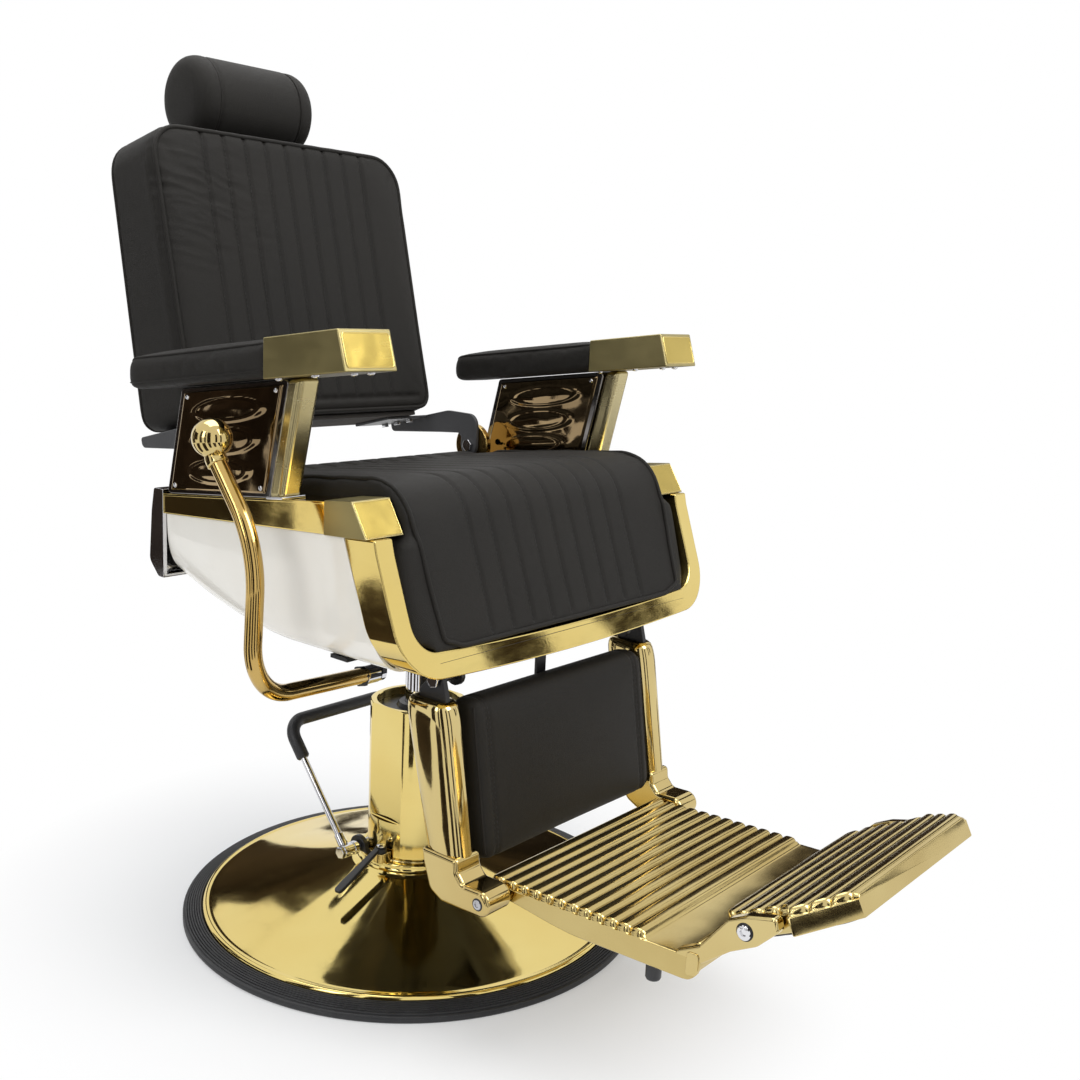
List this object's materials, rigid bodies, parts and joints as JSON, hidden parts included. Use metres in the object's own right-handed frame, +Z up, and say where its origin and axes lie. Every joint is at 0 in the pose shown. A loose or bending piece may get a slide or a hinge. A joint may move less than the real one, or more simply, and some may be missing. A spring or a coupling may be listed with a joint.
{
  "type": "barber chair",
  "caption": "Hydraulic barber chair: round pedestal, pump bail, boxy seat body, reclining back, sliding headrest, swinging calf rest and folding ribbed footrest.",
  "frame": {"origin": "centre of the floor face of the round base, on the column's axis", "axes": "+Z up, -Y the way the sitter faces, +X towards the sitter's left hand"},
  "size_m": [0.731, 1.2412, 1.2155],
  "materials": {
    "black_rubber": "ribbed black rubber, satin",
    "black_steel": "black paint, satin",
    "gold_sheet": "gold-coloured mirror plating",
    "gold_cast": "gold-coloured mirror plating on castings",
    "bare_steel": "ground and oiled steel",
    "chrome": "polished chrome plating",
    "dark_chrome": "smoked chrome, polished",
    "pearl_shell": "pearl white, glossy",
    "black_leather": "soft grained black upholstery leather",
    "plywood": "plywood, black fabric outside"
  },
  "bodies": {
    "base": {"trim_ring": "black_rubber", "base_plate": "black_steel", "base_dish": "gold_sheet", "column_shroud": "gold_sheet", "hydraulic_cylinder": "bare_steel", "column_cap": "black_steel", "pump_bearing_left": "chrome", "pump_bearing_right": "chrome", "lock_block": "gold_sheet"},
    "pump": {"pump_shaft": "chrome", "pump_lever": "chrome", "pump_grip": "black_rubber"},
    "swivel_lock": {"lock_lever": "black_steel"},
    "ram": {"hydraulic_ram": "bare_steel"},
    "seat": {"swivel_head": "black_steel", "seat_frame": "black_steel", "seat_rail_left": "gold_cast", "seat_rail_right": "gold_cast", "side_shell_left": "pearl_shell", "side_shell_right": "pearl_shell", "front_band": "gold_sheet", "rear_panel": "chrome", "seat_board": "plywood", "seat_cushion": "black_leather", "arm_frame_left": "dark_chrome", "arm_frame_right": "dark_chrome", "arm_skin_left": "gold_sheet", "arm_skin_right": "gold_sheet", "arm_post_left": "gold_cast", "arm_post_right": "gold_cast", "arm_pad_left": "black_leather", "arm_pad_right": "black_leather", "arm_cap_left": "gold_cast", "arm_cap_right": "gold_cast", "hinge_disc_left": "gold_cast", "hinge_disc_right": "gold_cast", "lever_bracket": "chrome"},
    "back": {"recline_arm_left": "black_steel", "recline_arm_right": "black_steel", "back_cushion": "black_leather", "back_bottom_board": "plywood"},
    "headrest": {"headrest_pillow": "black_leather", "headrest_post_left": "chrome", "headrest_post_right": "chrome"},
    "recline_release": {"recline_lever": "gold_sheet", "lever_ball": "gold_sheet"},
    "leg_rest": {"leg_left": "gold_cast", "leg_right": "gold_cast", "leg_plate_left": "black_steel", "leg_plate_right": "black_steel", "calf_pad": "black_leather", "calf_backing": "plywood", "foot_hinge_rod": "bare_steel"},
    "foot_rest": {"foot_plate": "gold_cast", "foot_bumper_left": "black_rubber", "foot_bumper_right": "black_rubber", "flap_hinge_rod": "bare_steel"},
    "toe_flap": {"foot_flap": "gold_cast", "flap_pad": "black_rubber"}
  },
  "joints": [
    {"name": "pump_pedal", "type": "hinge", "parent": "base", "child": "pump", "pos_m": [0, 0.038, 0.096], "axis": [-1, 0, 0], "range_deg": [0, 25], "stiffness_Nm_per_rad": 2, "springref_deg": -45.84},
    {"name": "swivel_lock_turn", "type": "hinge", "parent": "base", "child": "swivel_lock", "pos_m": [-0.08, -0.013, 0.105], "axis": [0, 0, 1], "range_deg": [-15, 15]},
    {"name": "seat_lift", "type": "slide", "parent": "base", "child": "ram", "axis": [0, 0, 1], "range_m": [0, 0.18]},
    {"name": "seat_swivel", "type": "hinge", "parent": "ram", "child": "seat", "pos_m": [0, 0, 0.43], "axis": [0, 0, 1], "continuous": true},
    {"name": "back_recline", "type": "hinge", "parent": "seat", "child": "back", "pos_m": [0, 0.14, 0.65], "axis": [-1, 0, 0], "range_deg": [0, 50]},
    {"name": "headrest_slide", "type": "slide", "parent": "back", "child": "headrest", "axis": [0, 0.2385, 0.9711], "range_m": [0, 0.09]},
    {"name": "recline_release_pull", "type": "hinge", "parent": "seat", "child": "recline_release", "pos_m": [-0.13, -0.046, 0.387], "axis": [-1, 0, 0], "range_deg": [0, 12], "stiffness_Nm_per_rad": 3, "springref_deg": -17.19},
    {"name": "leg_rest_swing", "type": "hinge", "parent": "seat", "child": "leg_rest", "pos_m": [0, -0.232, 0.436], "axis": [-1, 0, 0], "range_deg": [0, 40]},
    {"name": "foot_rest_fold", "type": "hinge", "parent": "leg_rest", "child": "foot_rest", "pos_m": [0, -0.328, 0.19], "axis": [-1, 0, 0], "range_deg": [0, 60]},
    {"name": "toe_flap_fold", "type": "hinge", "parent": "foot_rest", "child": "toe_flap", "pos_m": [0, -0.652, 0.261], "axis": [-1, 0, 0], "range_deg": [0, 145]}
  ],
  "couplings": [
    {"joint": "leg_rest_swing", "follows": "back_recline", "ratio": 0.8}
  ]
}
